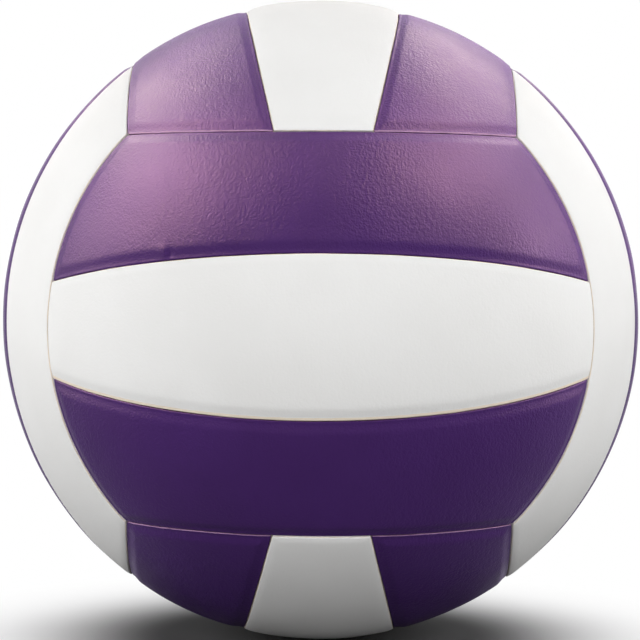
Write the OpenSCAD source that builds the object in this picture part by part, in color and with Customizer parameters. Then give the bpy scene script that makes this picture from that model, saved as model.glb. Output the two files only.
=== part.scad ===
// Indoor volleyball: eighteen cover panels over two plies of cloth and a rubber bladder.
// The origin is the centre of the ball. +Z is up, the front face looks along -Y, and the
// valve points along +Y.

/* [Ball] */
// Circumference of the inflated ball, measured over the panels
circumference = 660; // [650:1:670]
// Angle from the middle of a face to the seams beside its middle panel
middle_seam_angle = 13.8; // [12:0.1:17]

/* [Cover panels] */
// Thickness of a panel, skin and backing together
panel_t = 1.7; // [1.5:0.1:2.5]
// Gap between the cut edges of neighbouring panels
seam_gap = 0.3; // [0.2:0.05:0.6]
// Depth of the groove at a seam, below the surface of the ball
groove_depth = 0.9; // [0.6:0.05:1.2]
// Width of the rounded shoulder on each side of a seam
shoulder_w = 2.6; // [2:0.1:3.5]

/* [Carcass] */
// Thickness of one ply of carcass cloth
ply_t = 0.35; // [0.25:0.05:0.6]
// Number of gores that one ply is cut into
gore_count = 8; // [6:2:12]
// Gap between the edges of neighbouring gores
gore_gap = 0.2; // [0.1:0.05:0.5]
// Thickness of the glue or latex between two layers
glue_t = 0.1; // [0.05:0.05:0.2]

/* [Bladder] */
// Wall of the bladder
bladder_t = 0.6; // [0.4:0.1:1.2]
// Radius of the ring that thickens the bladder under the valve
valve_patch_r = 20; // [17:0.5:26]
// Thickness of that ring
valve_patch_t = 0.6; // [0.4:0.1:1]
// Radius of the balance patch opposite the valve
balance_patch_r = 15; // [10:0.5:22]
// Thickness of the balance patch
balance_patch_t = 1.2; // [0.6:0.1:2]

/* [Valve] */
// Radius of the valve's neck, where it passes through the wall of the ball
neck_r = 4; // [3.6:0.1:4.6]
// Clearance between the neck and the holes in the layers
neck_clearance = 0.3; // [0.2:0.05:0.5]
// Depth of the valve's end face below the surface of the ball
valve_recess = 0.4; // [0.2:0.1:0.8]
// Radius of the flange that is bonded inside the bladder
flange_r = 14; // [11:0.5:16]
// Thickness of the flange
flange_t = 1.2; // [0.8:0.1:1.6]
// Radius of the valve body inside the ball
valve_body_r = 6; // [5.4:0.1:7]
// Length of the valve body below the flange
valve_body_len = 14; // [12:0.5:18]
// Radius of the core's stem
core_r = 2.6; // [2.4:0.1:3]
// Clearance between the core and its housing
core_clearance = 0.1; // [0.05:0.05:0.2]
// Height of the bulge that holds the core in its housing
core_bulge_h = 1; // [0.6:0.1:1.4]
// Length of that bulge along the core
core_bulge_len = 4; // [3:0.5:5]
// Depth of the centre of the bulge below the end face of the valve
core_bulge_depth = 9; // [7.5:0.5:10]
// Diameter of the hole that takes an inflating needle
needle_d = 2; // [1.6:0.1:2.4]
// Depth of that hole below the end face of the valve
needle_depth = 8; // [6:0.5:10]
// Width and depth of the funnel round the mouth of that hole
funnel_w = 0.6; // [0.3:0.1:0.8]
// Width of the slit that closes below the needle hole
slit_w = 1.4; // [1:0.1:1.5]
// Opening of that slit at rest
slit_gap = 0.1; // [0.1:0.05:0.2]

/* [Hidden] */
cover_purple = [0.36, 0.22, 0.50];
cover_white = [0.94, 0.93, 0.91];
cloth_cream = [0.86, 0.82, 0.72];
rubber_black = [0.09, 0.09, 0.10];
rubber_grey = [0.24, 0.24, 0.26];

// Each face of the ball: its name, the turn that brings it from +Z to its place, the
// places of its three strips, and their colours.
FACES = [
    ["front", [90, 90, 0], ["upper", "middle", "lower"], [cover_purple, cover_white, cover_purple]],
    ["back", [-90, -90, 0], ["lower", "middle", "upper"], [cover_purple, cover_white, cover_purple]],
    ["left", [90, 0, -90], ["back", "middle", "front"], [cover_white, cover_purple, cover_white]],
    ["right", [90, 0, 90], ["front", "middle", "back"], [cover_white, cover_purple, cover_white]],
    ["top", [0, 0, 0], ["left", "middle", "right"], [cover_purple, cover_white, cover_purple]],
    ["bottom", [0, 180, 0], ["right", "middle", "left"], [cover_purple, cover_white, cover_purple]],
];
VALVE_FACE = FACES[1];
STRIPS = [0:2];
MIDDLE = 1;

function panel_name(face, strip) = str(face[0], "_", face[2][strip], "_panel");

$fn = 96;
ball_r = circumference / (2 * PI);
overrun = ball_r / 50;
reach = 2 * ball_r;

// Radii of the layers, from the panels inwards
panel_in_r = ball_r - panel_t;
outer_ply_r = panel_in_r - glue_t;
inner_ply_r = outer_ply_r - ply_t - glue_t;
bladder_r = inner_ply_r - ply_t - glue_t;
bladder_in_r = bladder_r - bladder_t;
patch_out_r = bladder_in_r - glue_t;
flange_out_r = patch_out_r - valve_patch_t - glue_t;

// The faces meet on circles cut by cones through the corners of a cube
border_angle = atan(sqrt(2));

// The shoulder is an arc that leaves the ball's surface at a slight angle and meets the
// cut edge at the depth of the groove
shoulder_rise_angle = 8;
shoulder_run = shoulder_w - seam_gap / 2;
shoulder_arc_r = (pow(shoulder_run, 2) + pow(groove_depth, 2))
    / (2 * (groove_depth * cos(shoulder_rise_angle) - shoulder_run * sin(shoulder_rise_angle)));
shoulder_arc_x = shoulder_w + shoulder_arc_r * sin(shoulder_rise_angle);
shoulder_arc_y = ball_r - shoulder_arc_r * cos(shoulder_rise_angle);

wall_hole_r = neck_r + neck_clearance;
valve_top = ball_r - valve_recess;
valve_bottom = flange_out_r - flange_t - valve_body_len;
needle_bottom = valve_top - needle_depth;
bulge_centre = valve_top - core_bulge_depth;

// A spherical layer between two radii
module layer(outer_r, inner_r) {
    difference() {
        sphere(outer_r);
        sphere(inner_r);
    }
}

// A cone about Z along a border between faces. Its side lies half a gap within the
// border, or half a gap beyond it for a negative gap.
module border_cone(gap) {
    low = ball_r / 2;
    high = ball_r + overrun;
    tip = gap / 2 / sin(border_angle);
    translate([0, 0, low]) cylinder(
        r1 = (low - tip) * tan(border_angle),
        r2 = (high - tip) * tan(border_angle),
        h = high - low
    );
}

// What the rounded shoulder beside a seam takes off. The seam circles Z at the given
// angle. The panel lies nearer to Z for a side of -1, and farther from it for 1.
module shoulder_cut(angle, side) {
    rotate_extrude() rotate(-angle) scale([side, 1]) difference() {
        translate([0, ball_r - groove_depth - seam_gap])
            square([shoulder_arc_x, groove_depth + seam_gap + overrun]);
        translate([shoulder_arc_x, shoulder_arc_y]) circle(shoulder_arc_r);
    }
}

// The part of a layer inside the border cone about Z, with a shoulder along that border
module face_cap() {
    difference() {
        intersection() {
            children();
            border_cone(seam_gap);
        }
        shoulder_cut(border_angle, -1);
    }
}

// What lies on the +Z side of a straight seam in the XY plane, with its shoulder
module beyond_straight_seam() {
    translate([0, 0, -seam_gap / 2]) cylinder(r = ball_r + overrun, h = reach);
    shoulder_cut(90, 1);
}

// The strip in the middle of a face, between two straight seams
module middle_strip() {
    difference() {
        face_cap() layer(ball_r, panel_in_r);
        for (side = [0, 180])
            rotate([0, 0, side]) rotate([0, 90 + middle_seam_angle, 0]) beyond_straight_seam();
    }
}

// The strip on the +X side of a face, between a straight seam and the border there
module side_strip() {
    difference() {
        face_cap() difference() {
            layer(ball_r, panel_in_r);
            rotate([0, 90, 0]) border_cone(-seam_gap);
        }
        rotate([0, 90, 0]) shoulder_cut(border_angle, 1);
        rotate([0, middle_seam_angle - 90, 0]) beyond_straight_seam();
    }
}

module wall_hole() {
    cylinder(r = wall_hole_r, h = reach);
}

module cover_panel(face, strip) {
    color(face[3][strip]) rotate(face[1])
        if (strip == MIDDLE) difference() {
            middle_strip();
            if (face == VALVE_FACE) wall_hole();
        }
        else rotate([0, 0, 180 - 90 * strip]) side_strip();
}

// One ply of cloth, cut into gores that meet at the two ends of the Z axis
module gored_ply(outer_r) {
    half_angle = 180 / gore_count;
    for (gore = [0:gore_count - 1])
        rotate([0, 0, gore * 360 / gore_count]) intersection() {
            layer(outer_r, outer_r - ply_t);
            translate([gore_gap / 2 / sin(half_angle), 0, 0])
                linear_extrude(2 * reach, center = true)
                    polygon([
                        [0, 0],
                        [reach, -reach * tan(half_angle)],
                        [reach, reach * tan(half_angle)],
                    ]);
        }
}

module carcass_outer_ply() {
    color(cloth_cream) rotate(VALVE_FACE[1]) difference() {
        rotate([0, -90, 0]) gored_ply(outer_ply_r);
        wall_hole();
    }
}

module carcass_inner_ply() {
    color(cloth_cream) rotate(VALVE_FACE[1]) difference() {
        gored_ply(inner_ply_r);
        wall_hole();
    }
}

module bladder() {
    color(rubber_black) rotate(VALVE_FACE[1]) difference() {
        layer(bladder_r, bladder_in_r);
        wall_hole();
    }
}

// A round patch that follows the inside of the bladder at +Z
module patch(outer_r, thickness, radius) {
    intersection() {
        layer(outer_r, outer_r - thickness);
        cylinder(r = radius, h = reach);
    }
}

module valve_patch() {
    color(rubber_grey) rotate(VALVE_FACE[1]) difference() {
        patch(patch_out_r, valve_patch_t, valve_patch_r);
        wall_hole();
    }
}

module balance_patch() {
    color(rubber_grey) rotate(VALVE_FACE[1]) rotate([180, 0, 0])
        patch(patch_out_r, balance_patch_t, balance_patch_r);
}

// Half section of the core: a straight stem with a bulge at mid length. A clearance
// widens it to the section of the hole that holds it, which runs past both ends.
module core_section(clearance, past) {
    half_len = core_bulge_len / 2 + clearance;
    edge_r = core_r + clearance;
    polygon([
        [0, valve_bottom - past],
        [edge_r, valve_bottom - past],
        [edge_r, bulge_centre - half_len],
        [edge_r + core_bulge_h, bulge_centre - half_len / 2],
        [edge_r + core_bulge_h, bulge_centre + half_len / 2],
        [edge_r, bulge_centre + half_len],
        [edge_r, valve_top + past],
        [0, valve_top + past],
    ]);
}

module valve_housing() {
    color(rubber_black) rotate(VALVE_FACE[1]) difference() {
        union() {
            patch(flange_out_r, flange_t, flange_r);
            translate([0, 0, flange_out_r - flange_t / 2])
                cylinder(r = neck_r, h = valve_top - flange_out_r + flange_t / 2);
            translate([0, 0, valve_bottom])
                cylinder(r = valve_body_r, h = valve_body_len + flange_t / 2);
        }
        rotate_extrude() core_section(core_clearance, overrun);
    }
}

module valve_core() {
    color(rubber_grey) rotate(VALVE_FACE[1]) difference() {
        rotate_extrude() core_section(0, 0);
        translate([0, 0, needle_bottom]) cylinder(d = needle_d, h = reach);
        translate([0, 0, valve_top - funnel_w])
            cylinder(d1 = needle_d, d2 = needle_d + 2 * funnel_w, h = funnel_w);
        translate([-slit_w / 2, -slit_gap / 2, valve_bottom - overrun])
            cube([slit_w, slit_gap, needle_bottom - valve_bottom + 2 * overrun]);
    }
}

for (face = FACES, strip = STRIPS)
    cover_panel(face, strip);
carcass_outer_ply();
carcass_inner_ply();
bladder();
valve_patch();
balance_patch();
valve_housing();
valve_core();
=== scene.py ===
import math

import bpy
import numpy as np
from mathutils import Matrix, Vector


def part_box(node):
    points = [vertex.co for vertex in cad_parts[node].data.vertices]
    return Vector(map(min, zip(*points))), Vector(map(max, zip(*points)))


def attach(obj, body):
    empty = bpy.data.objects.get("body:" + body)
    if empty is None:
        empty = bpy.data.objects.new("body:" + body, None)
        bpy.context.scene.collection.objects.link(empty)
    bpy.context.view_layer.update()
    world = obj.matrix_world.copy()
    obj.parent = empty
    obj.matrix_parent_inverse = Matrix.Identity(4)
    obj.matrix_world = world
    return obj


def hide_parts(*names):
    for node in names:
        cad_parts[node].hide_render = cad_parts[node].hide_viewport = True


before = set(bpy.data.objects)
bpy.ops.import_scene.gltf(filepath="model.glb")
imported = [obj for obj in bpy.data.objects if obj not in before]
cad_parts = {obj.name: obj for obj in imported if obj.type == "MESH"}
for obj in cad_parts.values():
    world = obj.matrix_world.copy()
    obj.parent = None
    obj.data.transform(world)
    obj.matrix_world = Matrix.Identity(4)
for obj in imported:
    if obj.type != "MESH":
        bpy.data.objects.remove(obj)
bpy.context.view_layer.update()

MM = 0.001

# The cover, read from the frame: one radius for the whole ball
BALL_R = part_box("top_middle_panel")[1][2]
PANEL_T = 1.7 * MM       # thickness of a cover panel
SEAM_GAP = 0.28 * MM     # gap between two panels at the foot of a seam
MIDDLE_SEAM = math.radians(13.8)      # seam beside the middle strip, from the face's middle
CONE = math.acos(1 / math.sqrt(3))    # angle from a face's middle to its corners
# The cone that borders a face leans out a little at each end of its strips
BORDER_LEAN = 0.045
LEAN_LENGTH = math.hypot(1, BORDER_LEAN)
BORDER_CONE = math.acos((1 - BORDER_LEAN) / math.sqrt(3) / LEAN_LENGTH)

# How a panel goes down to its seam: depth of its edge below the panel, width of the flat
# edge, where the panel has its full height again (all in mm), and how full the slope
# between these is
PRESSED = (0.58, 0.95, 4.2, 1.5)      # purple panels: a flat edge, pressed down
ROLLED = (0.32, 0.0, 2.8, 0.0)        # white panels: rolled down to the seam
LEVEL = (0.20, 0.9, 4.2, 1.0)         # a purple panel that stays nearly level with its neighbour
NARROW = (0.50, 0.9, 3.3, 1.0)        # a purple panel with a narrower slope
WIDE = (0.55, 0.9, 4.4, 1.0)          # the lower side of a white middle panel
# Panels that differ: a profile for each of the two sides and one for the ends. The first side
# of an outer strip is the one beside the middle strip.
SIDE_PROFILES = {
    "front_middle_panel": (ROLLED, WIDE, ROLLED),
    "back_middle_panel": (WIDE, ROLLED, ROLLED),
    "top_left_panel": (NARROW, LEVEL, PRESSED), "top_right_panel": (NARROW, LEVEL, PRESSED),
}
# How far the pale composite shows along a panel's two sides and its ends, in mm beyond a
# hair's breadth
PURPLE_RIMS = (-0.25, -0.25, 0.0)
WHITE_RIMS = (0.0, 0.0, -0.1)
RIM_WIDTHS = {
    "front_middle_panel": (0.0, 0.75, 0.1), "back_middle_panel": (0.75, 0.0, 0.1),
    "left_front_panel": (0.9, 0.0, -0.1), "right_front_panel": (0.9, 0.0, -0.1),
    "left_back_panel": (0.9, 0.0, -0.1), "right_back_panel": (0.9, 0.0, -0.1),
    "front_lower_panel": (-0.3, -0.05, -0.3), "back_lower_panel": (-0.3, -0.05, -0.3),
    "top_left_panel": (-0.25, -0.3, 0.2), "top_right_panel": (-0.25, -0.3, 0.2),
}
LIP_W = 0.32 * MM        # the last roll of the cut edge
LIP_DROP = 0.20 * MM
PUFF_W = 7.0 * MM        # the panel is a little fuller away from its seams
PUFF = 0.16 * MM
CORNER_R = 0.55 * MM     # rounding of a panel's corners
PROUD_PANEL = "top_middle_panel"
PROUD = 0.45 * MM        # how far that panel stands out of the ball
CALM_W = 5.0 * MM        # near its edges a panel is less uneven and doesn't stand out
CALM_SHARE = 0.4         # what is left of its unevenness right at the edge
INSIDE_EDGE_MM = 9.0     # edge_mm on a panel's inner face, which has no pale rim

# A short fold in the cover, upright across the lower seam of the front upper panel: the way
# to it from the ball's middle, and for its hump and its dent the place along X, half the
# width, half the length and the height
FOLD_WAY = (-0.439, -0.869, 0.229)
FOLD = np.array([(-1.5, 1.6, 2.4, 0.34), (0.6, 0.8, 2.0, -0.30)]) * MM
# Around the fold that panel's grid has closer columns in place of its usual ones
FOLDED_PANEL = "front_upper_panel"
FOLD_SHARE = 0.2567      # how far along the panel the fold lies
FOLD_COLUMNS = np.linspace(-3.2, 3.2, 21) * MM
FOLD_CLEAR = 3.4 * MM    # the usual ones stay this far from the fold's middle

# The hole in the cover around the valve's neck
HOLED_PANEL = "back_middle_panel"
HOLE_R = 4.3 * MM
HOLE_ROLL_W = 1.6 * MM   # its edge rolls down over this width
HOLE_ROLL = 0.35 * MM
HOLE_BLOCK = 9.0 * MM    # half the block of the grid that gives way to rings of points
HOLE_RINGS = np.array((0, 0.1, 0.25, 0.45, 0.75, 1.15, 1.7, 2.5)) * MM    # past the hole's edge
HOLE_RING_SHARES = (0.33, 0.66)       # the rest of the rings, on the way to the block's border

# A face is given by its own axes in the ball's frame (across the strips, along them, and
# outward), its strips, their colours, and the turn in degrees of its middle strip, which is
# laid by hand
FACES = {
    "front": (((0, 0, -1), (1, 0, 0), (0, -1, 0)), ("upper", "middle", "lower"), "PWP", -0.35),
    "back": (((0, 0, 1), (1, 0, 0), (0, 1, 0)), ("lower", "middle", "upper"), "PWP", 0.3),
    "left": (((0, -1, 0), (0, 0, 1), (-1, 0, 0)), ("back", "middle", "front"), "WPW", 0.2),
    "right": (((0, 1, 0), (0, 0, 1), (1, 0, 0)), ("front", "middle", "back"), "WPW", -0.2),
    "top": (((1, 0, 0), (0, 1, 0), (0, 0, 1)), ("left", "middle", "right"), "PWP", -0.3),
    "bottom": (((-1, 0, 0), (0, 1, 0), (0, 0, -1)), ("right", "middle", "left"), "PWP", 0.45),
}


# Small helpers for shader nodes

def new_material(name):
    """An empty material: itself, its node tree, its object coordinates and its output node."""
    material = bpy.data.materials.new(name)
    material.use_nodes = True
    tree = material.node_tree
    tree.nodes.clear()
    output = tree.nodes.new("ShaderNodeOutputMaterial")
    place = node(tree, "ShaderNodeTexCoord").outputs["Object"]
    return material, tree, place, output


def node(tree, kind, inputs=None, **settings):
    made = tree.nodes.new(kind)
    for key, value in settings.items():
        setattr(made, key, value)
    for key, value in (inputs or {}).items():
        socket = made.inputs[key]
        if isinstance(value, bpy.types.NodeSocket):
            tree.links.new(value, socket)
        else:
            socket.default_value = value
    return made


def math_node(tree, operation, a, b=0.0, clamp=False):
    return node(tree, "ShaderNodeMath", {0: a, 1: b},
                operation=operation, use_clamp=clamp).outputs[0]


def spread(tree, value, low, high, out_low=0.0, out_high=1.0):
    """Maps low..high to out_low..out_high with soft ends."""
    return node(tree, "ShaderNodeMapRange", {
        "Value": value, "From Min": low, "From Max": high, "To Min": out_low, "To Max": out_high,
    }, interpolation_type="SMOOTHSTEP").outputs["Result"]


def mix_colour(tree, factor, a, b):
    """A colour between a and b, through the node's inputs and output for colours."""
    return node(tree, "ShaderNodeMix", {0: factor, 6: a, 7: b}, data_type="RGBA").outputs[2]


def mix_shader(tree, factor, a, b):
    return node(tree, "ShaderNodeMixShader", {
        0: factor, 1: a.outputs[0], 2: b.outputs[0]})


def noise(tree, place, scale, detail=2.0, roughness=0.5):
    return node(tree, "ShaderNodeTexNoise", {
        "Vector": place, "Scale": scale, "Detail": detail, "Roughness": roughness,
    }).outputs["Fac"]


def cells(tree, place, scale):
    return node(tree, "ShaderNodeTexVoronoi", {
        "Vector": place, "Scale": scale, "Smoothness": 0.6,
    }, feature="SMOOTH_F1").outputs["Distance"]


def drawn_out(tree, place, factor):
    """The place with its Y and Z shrunk, which draws a texture out along both."""
    return node(tree, "ShaderNodeMapping", {
        "Vector": place, "Scale": (1.0, factor, factor)}).outputs[0]


def weighted_sum(tree, *terms):
    """The sum of texture values, each times its weight."""
    total = 0.0
    for value, weight in terms:
        total = math_node(tree, "ADD", math_node(tree, "MULTIPLY", value, weight), total)
    return total


def coat(tree, output, colour, roughness, specular, height, push, depth, tint=(1, 1, 1, 1)):
    """The surface shader, with height as its bump: push is its strength, depth its distance."""
    bump = node(tree, "ShaderNodeBump", {"Strength": push, "Distance": depth, "Height": height})
    shader = node(tree, "ShaderNodeBsdfPrincipled", {
        "Base Color": colour, "Roughness": roughness, "Specular IOR Level": specular,
        "Specular Tint": tint, "Normal": bump.outputs[0],
    })
    tree.links.new(shader.outputs[0], output.inputs[0])


# Materials: a texture's scale is in waves or cells per metre

def leather(name, base, dark, composite, specular, rough, tint, grain_push):
    """Microfibre composite leather: pebble grain, drawn wrinkles, pores and a paler cut rim."""
    material, tree, place, output = new_material(name)

    # The grain: pebbles under 1 mm across, wrinkles drawn out across X, and fine pores
    warp = noise(tree, place, 260.0)
    push = node(tree, "ShaderNodeVectorMath", {
        0: node(tree, "ShaderNodeTexNoise", {
            "Vector": place, "Scale": 320.0, "Detail": 1.0}).outputs["Color"],
        "Scale": 1.1 * MM,
    }, operation="SCALE").outputs[0]
    moved = node(tree, "ShaderNodeVectorMath", {0: place, 1: push}, operation="ADD").outputs[0]
    pebble = cells(tree, moved, 1300.0)
    wrinkle = noise(tree, drawn_out(tree, moved, 0.42), 1000.0, 3.0, 0.6)
    pores = noise(tree, place, 2300.0, 2.0, 0.6)
    calm = spread(tree, noise(tree, place, 34.0), 0.38, 0.62, 0.65, 1.0)
    grain = math_node(tree, "MULTIPLY",
                      weighted_sum(tree, (pebble, -0.60), (wrinkle, 1.0)), calm)
    height = weighted_sum(tree, (grain, 1.0), (pores, 0.60), (warp, 0.30))

    # Colour: slow drift, darker wrinkles, and the paler composite where the rim is cut. The
    # attribute edge_mm is the distance from the rim.
    drift = noise(tree, place, 21.0, 3.0, 0.55)
    colour = mix_colour(tree, spread(tree, drift, 0.3, 0.7), dark, base)
    colour = mix_colour(tree, spread(tree, wrinkle, 0.30, 0.52, 0.16, 0.0), colour, dark)
    edge = node(tree, "ShaderNodeAttribute",
                attribute_name="edge_mm", attribute_type="GEOMETRY").outputs["Fac"]
    ragged = weighted_sum(tree, (edge, 1.0), (noise(tree, place, 420.0, 3.0), 0.28))
    rim = spread(tree, ragged, 0.26, 0.40, 1.0, 0.0)
    colour = mix_colour(tree, rim, colour, composite)

    sheen = spread(tree, noise(tree, place, 60.0, 3.0), 0.3, 0.7, rough - 0.03, rough + 0.04)
    roughness = weighted_sum(tree, (sheen, 1.0), (rim, 0.2))
    coat(tree, output, colour, roughness, specular, height, grain_push, 0.2 * MM, tint)
    return material


def cut_edge(name, base, dark):
    """The cut side of a panel: backing foam and fibre in thin layers."""
    material, tree, place, output = new_material(name)
    fibre = noise(tree, place, 3000.0, 3.0, 0.65)
    pull = noise(tree, place, 500.0)
    layers = spread(tree, weighted_sum(tree, (fibre, 1.0), (pull, 0.5)), 0.55, 0.95)
    colour = mix_colour(tree, layers, dark, base)
    coat(tree, output, colour, roughness=0.9, specular=0.0, height=fibre, push=0.4, depth=0.1 * MM)
    return material


def cloth(name, base, dark):
    """Plain woven carcass cloth, its threads crossing in two directions, stiffened by latex."""
    material, tree, place, output = new_material(name)
    warp, weft = (node(tree, "ShaderNodeTexWave", {
        "Vector": place, "Scale": 420.0, "Distortion": 0.6, "Detail": 1.0, "Detail Scale": 2.0,
    }, wave_type="BANDS", bands_direction=direction).outputs["Fac"] for direction in "XZ")
    weave = math_node(tree, "MAXIMUM", warp, weft)
    stain = spread(tree, noise(tree, place, 60.0, 3.0), 0.3, 0.7, 0.75, 1.0)
    colour = mix_colour(tree, math_node(tree, "MULTIPLY", weave, stain), dark, base)
    coat(tree, output, colour, roughness=0.9, specular=0.2, height=weave, push=0.6, depth=0.2 * MM)
    return material


def rubber(name, base, dusty, rough, grain):
    """Moulded rubber: a fine matt skin with a bloom of dust in places."""
    material, tree, place, output = new_material(name)
    skin = noise(tree, place, grain, 4.0, 0.6)
    bloom = noise(tree, place, 180.0, 4.0, 0.6)
    colour = mix_colour(tree, spread(tree, bloom, 0.48, 0.75, 0.0, 0.5), base, dusty)
    roughness = spread(tree, bloom, 0.3, 0.7, rough - 0.06, rough + 0.1)
    coat(tree, output, colour, roughness, specular=0.45, height=skin, push=0.35, depth=0.08 * MM)
    return material


PURPLE = leather("purple_leather", base=(0.053, 0.0185, 0.118, 1), dark=(0.046, 0.0157, 0.101, 1),
                 composite=(0.37, 0.22, 0.37, 1), specular=0.07, rough=0.37,
                 tint=(1.0, 0.62, 0.70, 1), grain_push=0.72)
WHITE = leather("white_leather", base=(0.80, 0.797, 0.789, 1), dark=(0.770, 0.766, 0.756, 1),
                composite=(0.79, 0.69, 0.57, 1), specular=0.002, rough=0.58,
                tint=(1.0, 1.0, 1.0, 1), grain_push=0.20)
PURPLE_CUT = cut_edge("purple_cut_edge", (0.18, 0.08, 0.17, 1), (0.09, 0.04, 0.09, 1))
WHITE_CUT = cut_edge("white_cut_edge", (0.76, 0.73, 0.71, 1), (0.62, 0.58, 0.56, 1))
CLOTH = cloth("carcass_cloth_weave", (0.72, 0.66, 0.52, 1), (0.42, 0.36, 0.26, 1))
# The last two numbers of a rubber are its roughness and the scale of its skin
BUTYL = rubber("butyl_rubber", (0.012, 0.012, 0.013, 1), (0.05, 0.048, 0.045, 1), 0.55, 1400.0)
PATCH = rubber("patch_rubber", (0.030, 0.030, 0.032, 1), (0.08, 0.078, 0.072, 1), 0.62, 1800.0)
VALVE = rubber("valve_rubber", (0.020, 0.020, 0.022, 1), (0.07, 0.068, 0.062, 1), 0.50, 3200.0)
CORE = rubber("core_rubber", (0.045, 0.045, 0.050, 1), (0.10, 0.098, 0.092, 1), 0.45, 3600.0)


# Unevenness

class Waves:
    """A smooth random field over the ball: a sum of plane waves from one seed."""

    def __init__(self, seed, count, shortest, longest):
        draw = np.random.RandomState(seed)
        way = draw.normal(size=(count, 3))
        way /= np.linalg.norm(way, axis=1)[:, None]
        length = shortest * (longest / shortest) ** draw.rand(count)
        self.k = way * (2 * math.pi / length)[:, None]
        self.phase = draw.rand(count) * 2 * math.pi
        self.size = length / longest
        self.size /= math.sqrt((self.size ** 2).sum() / 2)

    def at(self, points):
        return (self.size * np.sin(points @ self.k.T + self.phase)).sum(-1)


# The whole ball and each panel are a little uneven
BALL_WAVES = Waves(seed=7, count=14, shortest=60 * MM, longest=160 * MM)
BALL_UNEVEN = 0.10 * MM
PANEL_WAVES = Waves(seed=11, count=26, shortest=14 * MM, longest=45 * MM)
PANEL_UNEVEN = 0.045 * MM
# A panel's edge strays from its seam line in waves of these lengths and heights
STRAY_LENGTHS = np.array((9, 17, 31, 60)) * MM
STRAY_HEIGHTS = np.array((0.015, 0.02, 0.025, 0.035)) * MM


def stray(seed):
    """How far a panel's edge strays from its seam line, as a function of the way along it."""
    draw = np.random.RandomState(seed)
    k = 2 * math.pi / STRAY_LENGTHS
    phase = draw.rand(len(k)) * 2 * math.pi
    return lambda s: (STRAY_HEIGHTS * np.sin(np.asarray(s)[..., None] * k + phase)).sum(-1)


# The panels' grids: distances from an edge, in mm, at which a panel has rows of points, and
# the usual steps between these rows across and along a strip
FINE = (0, 0.06, 0.14, 0.24, 0.4, 0.65, 0.95, 1.2, 1.5, 1.9, 2.3, 2.7, 3.1, 3.6, 4.2, 5.0, 6.2)
STEP_ACROSS = 1.7 * MM
STEP_ALONG = 1.8 * MM
# In radians: the rough width and length of an outer strip, which set how many rows its grid
# has, and the rough place of a strip's corner, where the search for it starts
OUTER_ACROSS = 0.43
OUTER_ALONG = 1.55
OUTER_START = 0.7
END_START = 0.8
CORNER_ROUNDS = 60


def edge_steps(length, coarse):
    """Places from 0 to length, close together at both ends, where the panel goes down."""
    near = np.array(FINE) * MM
    count = max(2, round((length - 2 * near[-1]) / coarse))
    inner = np.linspace(near[-1], length - near[-1], count + 1)[1:-1]
    return np.concatenate([near, inner, length - near[::-1]])


def strip_outline(middle, seed, turn):
    """Functions that give the strip's four edges as angles, each set back by half the gap."""
    strays = [stray(seed * 10 + i) for i in range(4)]

    def back(i, way):
        """The angle by which edge i lies inside its seam, at a way along it."""
        return (SEAM_GAP / 2 + strays[i](way)) / BALL_R

    def seam(i, sign, along):
        """The edge along a straight seam. sign says on which side of that seam the strip lies."""
        tilt = np.arcsin(np.sin(back(i, along * BALL_R)) / np.cos(along))
        return tilt * sign + turn * np.tan(along)

    def inner(along):
        return (-MIDDLE_SEAM if middle else MIDDLE_SEAM) + seam(0, 1, along)

    def outer(along):
        if middle:
            return MIDDLE_SEAM + seam(1, -1, along)
        beyond = np.cos(BORDER_CONE + back(1, along * BALL_R))
        return math.atan(BORDER_LEAN) + np.arcsin(np.clip(beyond / np.cos(along), -1, 1))

    def end(side, across):
        within = LEAN_LENGTH * np.cos(BORDER_CONE - back(2 + (side > 0), across * BALL_R))
        lean = np.arctan2(BORDER_LEAN, np.cos(across))
        reach = np.arccos(np.clip(within / np.hypot(np.cos(across), BORDER_LEAN), -1, 1))
        return side * (reach - lean)

    return inner, outer, end


def corner_of(edge, end, side, across, along):
    """Where an edge meets an end, found by going back and forth between the two."""
    for _ in range(CORNER_ROUNDS):
        along = 0.5 * along + 0.5 * float(end(side, across))
        across = 0.5 * across + 0.5 * float(edge(along))
    return across, along


def strip_angles(middle, seed, turn, across_steps, along_steps):
    """The grid of a strip in angles, filled in from its four edges (a Coons patch).

    Corner e, s lies on the inner edge for e = 0 and on the outer one for e = 1, at the end
    on side s.
    """
    inner, outer, end = strip_outline(middle, seed, turn)
    start_in, start_out = (-MIDDLE_SEAM, MIDDLE_SEAM) if middle else (MIDDLE_SEAM, OUTER_START)
    corners = {}
    for e, edge, start in ((0, inner, start_in), (1, outer, start_out)):
        for s in (-1, 1):
            corners[e, s] = np.array(corner_of(edge, end, s, start, s * END_START))
    u = across_steps / across_steps[-1]
    v = along_steps / along_steps[-1]

    def side_curve(e, edge):
        along = corners[e, -1][1] * (1 - v) + corners[e, 1][1] * v
        return np.stack([edge(along), along], -1)

    def end_curve(s):
        across = corners[0, s][0] * (1 - u) + corners[1, s][0] * u
        return np.stack([across, end(s, across)], -1)

    a, b = side_curve(0, inner), side_curve(1, outer)
    c, d = end_curve(-1), end_curve(1)
    u_grid, v_grid = u[:, None, None], v[None, :, None]
    sides = (1 - u_grid) * a[None] + u_grid * b[None]
    ends = (1 - v_grid) * c[:, None] + v_grid * d[:, None]
    near, far = ((1 - v_grid) * corners[e, -1] + v_grid * corners[e, 1] for e in (0, 1))
    return sides + ends - ((1 - u_grid) * near + u_grid * far)


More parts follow.
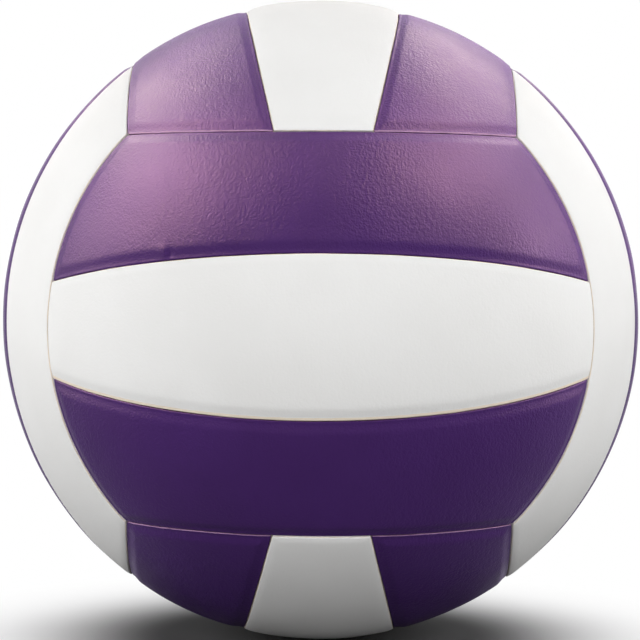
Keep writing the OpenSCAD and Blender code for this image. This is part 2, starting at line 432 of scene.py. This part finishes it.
def rounded(angles, steps_a, steps_b):
    """Pulls the grid's corners in to a small radius, square to circle."""
    from_edge = [np.minimum(steps, steps[-1] - steps) for steps in (steps_a, steps_b)]
    a, b = np.meshgrid(*from_edge, indexing="ij")
    x, y = np.clip(CORNER_R - a, 0, None), np.clip(CORNER_R - b, 0, None)
    far = np.hypot(x, y)
    shrink = np.where(far > 0, np.maximum(x, y) / np.where(far > 0, far, 1), 1)
    da, db = x * (1 - shrink), y * (1 - shrink)
    sign_a = np.where(steps_a < steps_a[-1] / 2, 1, -1)[:, None]
    sign_b = np.where(steps_b < steps_b[-1] / 2, 1, -1)[None]
    moved = angles.copy()
    moved[..., 0] += sign_a * da / BALL_R / np.cos(angles[..., 1])
    moved[..., 1] += sign_b * db / BALL_R
    return moved


def grid_quads(rows, columns, skip=None):
    """The faces of a grid of points, without those that skip marks."""
    index = np.arange(rows * columns).reshape(rows, columns)
    quads = np.stack([index[:-1, :-1], index[1:, :-1], index[1:, 1:], index[:-1, 1:]], -1)
    if skip is not None:
        quads = quads[~skip]
    return quads.reshape(-1, 4)


def with_hole(angles, across_steps, along_steps):
    """The grid's points and faces, with rings around a hole in place of its middle block."""
    rows, columns = angles.shape[:2]

    def block_of(steps):
        centre = steps[-1] / 2
        low, high = np.searchsorted(steps, (centre - HOLE_BLOCK, centre + HOLE_BLOCK))
        return low, high - 1

    (i0, i1), (j0, j1) = block_of(across_steps), block_of(along_steps)
    skip = np.zeros((rows - 1, columns - 1), dtype=bool)
    skip[i0:i1, j0:j1] = True
    quads = grid_quads(rows, columns, skip)
    loop = ([(i, j0) for i in range(i0, i1)] + [(i1, j) for j in range(j0, j1)]
            + [(i, j1) for i in range(i1, i0, -1)] + [(i0, j) for j in range(j1, j0, -1)])
    loop = np.array([i * columns + j for i, j in loop])

    flat = angles.reshape(-1, 2)
    reach = np.hypot(flat[loop, 0], flat[loop, 1])
    way = flat[loop] / reach[:, None]
    near = (HOLE_R + HOLE_RINGS) / BALL_R
    rings = [way * r for r in near]
    rings += [way * (near[-1] + (reach - near[-1]) * share)[:, None] for share in HOLE_RING_SHARES]
    count = len(loop)
    levels = [len(flat) + k * count + np.arange(count) for k in range(len(rings))] + [loop]
    for a, b in zip(levels, levels[1:]):
        quads = np.concatenate([quads, np.stack([a, b, np.roll(b, -1), np.roll(a, -1)], -1)])

    flat = np.concatenate([flat] + rings)
    used = np.unique(quads)
    renumber = np.zeros(len(flat), dtype=int)
    renumber[used] = np.arange(len(used))
    return flat[used], renumber[quads]


# Panels

def on_ball(angles):
    """Points on the unit ball, in the face's axes, from angles across and along it."""
    across, along = angles[..., 0], angles[..., 1]
    return np.stack([np.cos(along) * np.sin(across), np.sin(along),
                     np.cos(along) * np.cos(across)], -1)


def edge_distances(p, middle, turn):
    """How far points on the unit ball lie from the strip's two sides and its ends, in metres."""
    x, y, z = p.T
    across = x - turn * y

    def past_seam(seam):
        return np.arcsin(np.clip(across * math.cos(seam) - z * math.sin(seam), -1, 1))

    def from_border(outward):
        return np.arccos(np.clip(outward / LEAN_LENGTH, -1, 1)) - BORDER_CONE

    ends = -from_border(z - BORDER_LEAN * np.abs(y))
    if middle:
        sides = (past_seam(-MIDDLE_SEAM), -past_seam(MIDDLE_SEAM))
    else:
        sides = (past_seam(MIDDLE_SEAM), from_border(x - BORDER_LEAN * z))
    return [np.maximum(d * BALL_R - SEAM_GAP / 2, 0) for d in (*sides, ends)]


def bulge(p_world, distances, profiles, hole, proud):
    """How far a point of the panel's outer face lies from the ball's radius."""
    drops = []
    for d, (depth, flat, end, full) in zip(distances, profiles):
        rise = np.clip((d / MM - flat) / (end - flat), 0, 1)
        drop = depth * MM * (1 - rise) ** 2 * (1 + full * rise)
        drop = drop + LIP_DROP * np.clip(1 - d / LIP_W, 0, 1) ** 2
        drop = drop + PUFF * np.exp(-d / PUFF_W)
        drops.append(drop)
    drop = (sum(x ** 3 for x in drops)) ** (1 / 3)
    calm = np.clip(np.min(distances, axis=0) / CALM_W, 0, 1)
    lift = (-drop + BALL_UNEVEN * BALL_WAVES.at(p_world)
            + PANEL_UNEVEN * PANEL_WAVES.at(p_world) * (CALM_SHARE + (1 - CALM_SHARE) * calm))
    if hole is not None:
        lift = lift - HOLE_ROLL * np.clip(1 - hole / HOLE_ROLL_W, 0, 1) ** 2
    away = p_world - BALL_R * np.array(FOLD_WAY)
    in_front = p_world[..., 1] < 0
    for at, half_width, half_length, height in FOLD:
        reach = ((away[..., 0] - at) / half_width) ** 2 + (away[..., 2] / half_length) ** 2
        lift = lift + in_front * height * np.exp(-reach)
    return lift + proud * calm


def mark_sharp(mesh, border, count):
    """Marks the outer face's border and the inner one's, count points later, as sharp edges."""
    ends = np.empty(len(mesh.edges) * 2, dtype=np.int32)
    mesh.edges.foreach_get("vertices", ends)

    def numbers(pairs):
        """One number for each pair of points, whichever of the two comes first."""
        low, high = np.sort(pairs, axis=1).astype(np.int64).T
        return low * len(mesh.vertices) + high

    borders = np.concatenate([border, border + count])
    sharp = np.isin(numbers(ends.reshape(-1, 2)), numbers(borders))
    mesh.attributes.new("sharp_edge", "BOOLEAN", "EDGE").data.foreach_set("value", sharp)


def closed_mesh(name, top, bottom, quads, edge_mm, materials):
    """A panel from its outer and inner points: two faces, and a wall round each border.

    The first material is for the outer face, and the second for the inner face and the wall.
    """
    count = len(top)
    sides = np.concatenate([quads[:, [i, (i + 1) % 4]] for i in range(4)])
    _, first, seen = np.unique(np.sort(sides, axis=1), axis=0,
                               return_index=True, return_counts=True)
    border = sides[first[seen == 1]]
    wall = np.concatenate([border[:, ::-1], border + count], axis=1)
    faces = np.concatenate([quads, quads[:, ::-1] + count, wall])
    points = np.concatenate([top, bottom]).astype(np.float32)

    mesh = bpy.data.meshes.new(name)
    mesh.vertices.add(len(points))
    mesh.vertices.foreach_set("co", points.ravel())
    mesh.loops.add(faces.size)
    mesh.loops.foreach_set("vertex_index", faces.astype(np.int32).ravel())
    mesh.polygons.add(len(faces))
    mesh.polygons.foreach_set("loop_start", np.arange(0, faces.size, 4, dtype=np.int32))
    mesh.polygons.foreach_set("loop_total", np.full(len(faces), 4, dtype=np.int32))
    mesh.update(calc_edges=True)
    for material in materials:
        mesh.materials.append(material)
    kinds = (np.arange(len(faces)) >= len(quads)).astype(np.int32)
    mesh.polygons.foreach_set("material_index", kinds)
    mesh.polygons.foreach_set("use_smooth", np.ones(len(faces), dtype=bool))
    mark_sharp(mesh, border, count)
    values = np.concatenate([edge_mm, np.full(count, INSIDE_EDGE_MM)]).astype(np.float32)
    mesh.attributes.new("edge_mm", "FLOAT", "POINT").data.foreach_set("value", values)
    mesh.validate()
    piece = bpy.data.objects.new(name, mesh)
    bpy.context.collection.objects.link(piece)
    return piece


def build_panel(name, axes, mirrored, middle, purple, turn, seed):
    """One panel of the cover, worked out in its face's axes and turned into the ball's."""
    across_length = BALL_R * (2 * MIDDLE_SEAM if middle else OUTER_ACROSS)
    along_length = BALL_R * (2 * CONE if middle else OUTER_ALONG)
    across_steps = edge_steps(across_length, STEP_ACROSS)
    along_steps = edge_steps(along_length, STEP_ALONG)
    if name == FOLDED_PANEL:
        at = FOLD_SHARE * along_length
        usual = along_steps[np.abs(along_steps - at) > FOLD_CLEAR]
        along_steps = np.sort(np.concatenate([usual, at + FOLD_COLUMNS]))
    turn = math.radians(-turn if mirrored else turn)
    angles = strip_angles(middle, seed, turn, across_steps, along_steps)
    angles = rounded(angles, across_steps, along_steps)
    holed = name == HOLED_PANEL
    if holed:
        flat, quads = with_hole(angles, across_steps, along_steps)
    else:
        flat, quads = angles.reshape(-1, 2), grid_quads(*angles.shape[:2])

    p = on_ball(flat)
    distances = edge_distances(p, middle, turn)
    rims = RIM_WIDTHS.get(name, PURPLE_RIMS if purple else WHITE_RIMS)
    rim_mm = np.min([np.maximum(d / MM - width, 0) for d, width in zip(distances, rims)], axis=0)
    profiles = SIDE_PROFILES.get(name, (PRESSED if purple else ROLLED,) * 3)
    hole = None
    if holed:
        hole = BALL_R * np.arccos(np.clip(p[:, 2], -1, 1)) - HOLE_R
        rim_mm = np.minimum(rim_mm, np.maximum(hole / MM, 0))
    if mirrored:
        p = p * np.array([-1, 1, 1])
    world = p @ axes
    lift = bulge(world * BALL_R, distances, profiles, hole, PROUD if name == PROUD_PANEL else 0.0)
    top = world * (BALL_R + lift)[:, None]
    bottom = world * (BALL_R - PANEL_T)
    # The faces of the outer side look out of the ball
    a, b, c = (top[quads[:, i]] for i in range(3))
    if np.median((np.cross(b - a, c - a) * a).sum(1)) < 0:
        quads = quads[:, ::-1]

    look = (PURPLE, PURPLE_CUT) if purple else (WHITE, WHITE_CUT)
    piece = closed_mesh(name + "_cover", top, bottom, quads, rim_mm, look)
    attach(piece, "root")
    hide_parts(name)


seed = 0
for face, (axes, strips, colours, turn) in FACES.items():
    for rank, (strip, colour) in enumerate(zip(strips, colours)):
        seed += 1
        build_panel(f"{face}_{strip}_panel", np.array(axes, float), mirrored=rank == 0,
                    middle=rank == 1, purple=colour == "P", turn=turn, seed=seed)


# The pieces under the cover keep their shapes and get new materials

def dress(names, material):
    for name in names:
        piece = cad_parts[name]
        piece.data.materials.clear()
        piece.data.materials.append(material)


dress(("carcass_outer_ply", "carcass_inner_ply"), CLOTH)
dress(("bladder",), BUTYL)
dress(("valve_patch", "balance_patch"), PATCH)
dress(("valve_housing",), VALVE)
dress(("valve_core",), CORE)


# Camera

PICTURE = 640            # width and height of the picture, in pixels
FOCAL_PX = 2717.0        # focal length, in the same pixels
SHIFT_PX = (-0.69, 0.36) # shift of the lens, in the same pixels
CAMERA_AWAY = 8.6 * BALL_R
CAMERA_UP = math.radians(2.86)
CAMERA_ROLL = math.radians(0.4)
camera_data = bpy.data.cameras.new("camera")
camera_data.sensor_width = 36.0
camera_data.lens = FOCAL_PX / PICTURE * camera_data.sensor_width
camera_data.clip_start = 0.05
camera_data.shift_x = SHIFT_PX[0] / PICTURE
camera_data.shift_y = SHIFT_PX[1] / PICTURE
camera = bpy.data.objects.new("camera", camera_data)
bpy.context.collection.objects.link(camera)
camera.matrix_world = (
    Matrix.Translation((0, -CAMERA_AWAY * math.cos(CAMERA_UP), CAMERA_AWAY * math.sin(CAMERA_UP)))
    @ Matrix.Rotation(math.pi / 2 - CAMERA_UP, 4, "X")
    @ Matrix.Rotation(CAMERA_ROLL, 4, "Z"))
bpy.context.scene.camera = camera


# Floor, backdrop and lights

WARM = (1.0, 0.82, 0.74)              # colour of the lamps that light only the gloss


def lamp(name, azimuth, elevation, away, size, power, for_gloss=False):
    """A soft box that faces the ball and lights either its surface or its gloss.

    Azimuth 0 is toward the camera, 90 to the right. Angles are in degrees, the distance and
    the size in metres and the power in watts.
    """
    az, el = math.radians(azimuth), math.radians(elevation)
    direction = Vector((math.cos(el) * math.sin(az), -math.cos(el) * math.cos(az), math.sin(el)))
    data = bpy.data.lights.new(name, "AREA")
    data.shape = "RECTANGLE"
    data.size, data.size_y = size
    data.energy = power
    if for_gloss:
        data.color = WARM
    box = bpy.data.objects.new(name, data)
    box.location = direction * away
    box.rotation_mode = "QUATERNION"
    box.rotation_quaternion = direction.to_track_quat("Z", "Y")
    box.visible_diffuse = not for_gloss
    box.visible_glossy = for_gloss
    bpy.context.collection.objects.link(box)


lamp("left_soft_box", -105, 10, 1.2, (0.9, 0.9), 8.7)
lamp("right_soft_box", 107, 24, 1.2, (0.9, 0.9), 7.6)
lamp("front_fill", 0, 7, 1.6, (1.4, 0.9), 15.3)
lamp("front_left_fill", -60, 20, 1.4, (0.8, 0.8), 10.4)
lamp("front_right_fill", 60, 24, 1.4, (0.8, 0.8), 10.0)
lamp("back_fill", 180, 52, 1.6, (1.4, 0.9), 12.5)
# A bank of soft boxes above and beside the ball, which light only its gloss: azimuth,
# elevation and power of each
GLOSS_AWAY = 1.2
GLOSS_SIZE = (0.6, 0.45)
GLOSS_BANK = (
    (-50, 55, 23), (-60, 32, 23), (-78, 42, 46), (-90, 20, 24), (-90, 70, 4.5), (-120, 45, 24),
    (-120, 62, 5), (-145, 48, 4.5), (0, 58, 3), (60, 50, 54), (78, 42, 9), (90, 20, 31),
    (98, 48, 6), (90, 70, 15), (120, 45, 12), (120, 62, 6), (148, 45, 10), (90, -5, 9),
    (-90, -5, 9),
)
for index, (azimuth, elevation, power) in enumerate(GLOSS_BANK):
    lamp(f"gloss_box_{index}", azimuth, elevation, GLOSS_AWAY, GLOSS_SIZE, power, for_gloss=True)


def seen_directly(tree):
    """1 for rays that show the white surroundings: from the camera, gloss and through glass."""
    path = tree.nodes.new("ShaderNodeLightPath")
    total = math_node(tree, "ADD", path.outputs["Is Camera Ray"], path.outputs["Is Glossy Ray"])
    return math_node(tree, "ADD", total, path.outputs["Is Transmission Ray"], clamp=True)


def studio_world():
    """White surroundings where they are seen, which shine on the ball only as a dim dome."""
    studio = bpy.data.worlds.new("studio")
    studio.use_nodes = True
    tree = studio.node_tree
    tree.nodes.clear()
    up = node(tree, "ShaderNodeSeparateXYZ", {
        0: node(tree, "ShaderNodeTexCoord").outputs["Generated"]}).outputs["Z"]
    dome = spread(tree, up, -0.3, 0.7, 0.10, 0.75)
    shade = mix_colour(tree, dome, (0, 0, 0, 1), (1, 1, 1, 1))
    soft = node(tree, "ShaderNodeBackground", {"Color": shade, "Strength": 0.02})
    plain = node(tree, "ShaderNodeBackground", {"Color": (1, 1, 1, 1), "Strength": 1.0})
    both = mix_shader(tree, seen_directly(tree), soft, plain)
    tree.links.new(both.outputs[0], tree.nodes.new("ShaderNodeOutputWorld").inputs[0])
    return studio


# Distances in metres from the point under the ball between which the painted shadow on the floor
# goes from dark to pale, and between which the floor fades to the white of the surroundings
FLOOR_PAINTED_SHADOW = (0.05, 0.13)
FLOOR_FADE = (0.05, 0.15)
FLOOR_HALF = 6.0                      # half the floor's width, in metres


def pale_floor():
    """A pale matt floor with a painted shadow near the ball, which throws back little light."""
    material, tree, place, output = new_material("pale_floor")
    speck = spread(tree, noise(tree, place, 9.0, 3.0), 0.3, 0.7)
    pale = mix_colour(tree, speck, (0.80, 0.80, 0.80, 1), (0.84, 0.84, 0.84, 1))
    away = node(tree, "ShaderNodeVectorMath", {0: place}, operation="LENGTH").outputs["Value"]
    # Painted shadow: near the ball the floor's colour goes dark (0.10), added to the shadow the
    # lamps cast on it
    colour = mix_colour(tree, spread(tree, away, *FLOOR_PAINTED_SHADOW), (0.10, 0.10, 0.10, 1), pale)
    matt = node(tree, "ShaderNodeBsdfDiffuse", {"Color": colour})
    dim = node(tree, "ShaderNodeBsdfDiffuse", {"Color": (0.12, 0.12, 0.12, 1)})
    white = node(tree, "ShaderNodeEmission", {"Color": (1, 1, 1, 1), "Strength": 1.0})
    shown = mix_shader(tree, spread(tree, away, *FLOOR_FADE), matt, white)
    both = mix_shader(tree, seen_directly(tree), dim, shown)
    tree.links.new(both.outputs[0], output.inputs[0])
    return material


bpy.context.scene.world = studio_world()
floor_mesh = bpy.data.meshes.new("floor")
floor_mesh.from_pydata([(-FLOOR_HALF, -FLOOR_HALF, 0), (FLOOR_HALF, -FLOOR_HALF, 0),
                        (FLOOR_HALF, FLOOR_HALF, 0), (-FLOOR_HALF, FLOOR_HALF, 0)],
                       [], [(0, 1, 2, 3)])
floor_mesh.materials.append(pale_floor())
floor = bpy.data.objects.new("floor", floor_mesh)
floor.location = (0, 0, -BALL_R)
bpy.context.collection.objects.link(floor)

bpy.context.scene.view_settings.view_transform = "Standard"
